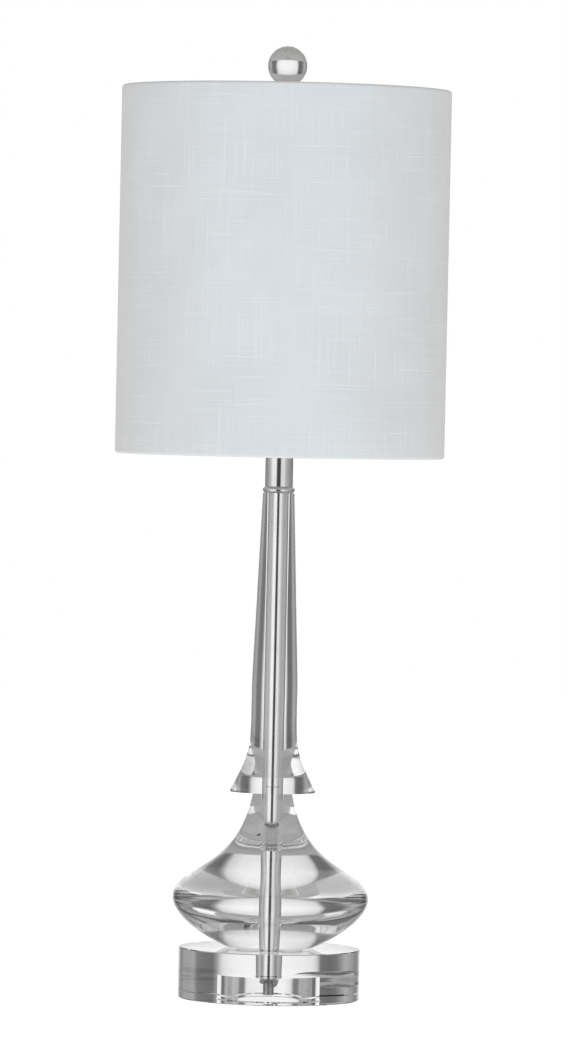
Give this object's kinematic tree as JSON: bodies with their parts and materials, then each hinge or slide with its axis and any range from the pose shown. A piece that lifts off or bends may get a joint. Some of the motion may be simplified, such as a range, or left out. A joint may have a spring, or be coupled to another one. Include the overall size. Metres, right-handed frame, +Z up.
{
  "type": "table lamp",
  "caption": "Candlestick table lamp with a turned crystal base, vase and column, a chrome neck, a linen drum shade on a lift-off harp and a crystal ball finial.",
  "frame": {"origin": "centre of the resting face, on the lamp's axis", "axes": "+Z up along the axis, -Y towards the front where the switch knob is, +X to the right"},
  "size_m": [0.2984, 0.2983, 0.8637],
  "materials": {
    "crystal": "clear polished crystal",
    "clear_pad": "clear soft bumper",
    "clear_gasket": "clear thin gasket",
    "nylon": "natural nylon",
    "zinc_steel": "zinc-plated",
    "black_rubber": "matt",
    "chrome": "polished",
    "nickel": "polished nickel",
    "insulating_paper": "varnished insulating paper",
    "phenolic": "moulded",
    "brass": "bright",
    "black_knob": "moulded",
    "frosted_glass": "frosted",
    "bulb_aluminium": "rolled",
    "black_glass": "vitrified glass",
    "solder": "solder",
    "stem_glass": "clear",
    "tungsten": "drawn wire",
    "linen": "off-white slub linen",
    "styrene": "white lining sheet",
    "white_wire": "white coated wire",
    "nickel_hub": "polished nickel"
  },
  "bodies": {
    "stand": {"foot_pads": "clear_pad", "base_disc": "crystal", "cord_bushing": "nylon", "base_nut": "zinc_steel", "base_lock_washer": "zinc_steel", "base_clamp_washer": "zinc_steel", "base_rubber_washer": "black_rubber", "lower_gasket": "clear_gasket", "crystal_vase": "crystal", "upper_gasket": "clear_gasket", "crystal_column": "crystal", "centre_sleeve": "chrome", "threaded_rod": "zinc_steel", "neck_ring": "chrome", "neck_tube": "chrome", "neck_cap": "chrome", "harp_saddle": "nickel", "saddle_nut": "zinc_steel", "socket_cap": "nickel", "cap_set_screw": "zinc_steel", "socket_shell": "nickel", "paper_insulator": "insulating_paper", "switch_body": "phenolic", "terminal_screws": "brass", "screw_shell": "brass", "centre_contact": "brass"},
    "switch": {"switch_shaft": "brass", "switch_knob": "black_knob"},
    "light_bulb": {"bulb_glass": "frosted_glass", "bulb_screw_base": "bulb_aluminium", "bulb_insulator": "black_glass", "bulb_tip": "solder", "bulb_stem": "stem_glass", "bulb_filament": "tungsten"},
    "harp": {"harp_bow": "nickel"},
    "left_ferrule": {"ferrule_left": "nickel"},
    "right_ferrule": {"ferrule_right": "nickel"},
    "stud": {"harp_stud": "nickel"},
    "shade": {"shade_fabric": "linen", "shade_liner": "styrene", "top_ring": "white_wire", "bottom_ring": "white_wire", "spider_arms": "white_wire", "spider_hub": "nickel_hub"},
    "finial": {"finial_base": "chrome", "finial_ball": "crystal"}
  },
  "joints": [
    {"name": "switch_turn", "type": "hinge", "parent": "stand", "child": "switch", "pos_m": [0, 0, 0.5573], "axis": [0, -1, 0], "continuous": true},
    {"name": "bulb_unscrew", "type": "slide", "parent": "stand", "child": "light_bulb", "axis": [0, 0, 1], "range_m": [0, 0.026]},
    {"name": "harp_lift", "type": "slide", "parent": "stand", "child": "harp", "axis": [0, 0, 1], "range_m": [0, 0.02]},
    {"name": "left_ferrule_slide", "type": "slide", "parent": "harp", "child": "left_ferrule", "axis": [0, 0, 1], "range_m": [0, 0.013]},
    {"name": "right_ferrule_slide", "type": "slide", "parent": "harp", "child": "right_ferrule", "axis": [0, 0, 1], "range_m": [0, 0.013]},
    {"name": "stud_swivel", "type": "hinge", "parent": "harp", "child": "stud", "pos_m": [0, 0, 0.8], "axis": [0, 0, 1], "continuous": true},
    {"name": "shade_lift", "type": "slide", "parent": "stud", "child": "shade", "axis": [0, 0, 1], "range_m": [0, 0.34]},
    {"name": "finial_unscrew", "type": "slide", "parent": "shade", "child": "finial", "axis": [0, 0, 1], "range_m": [0, 0.018]}
  ]
}
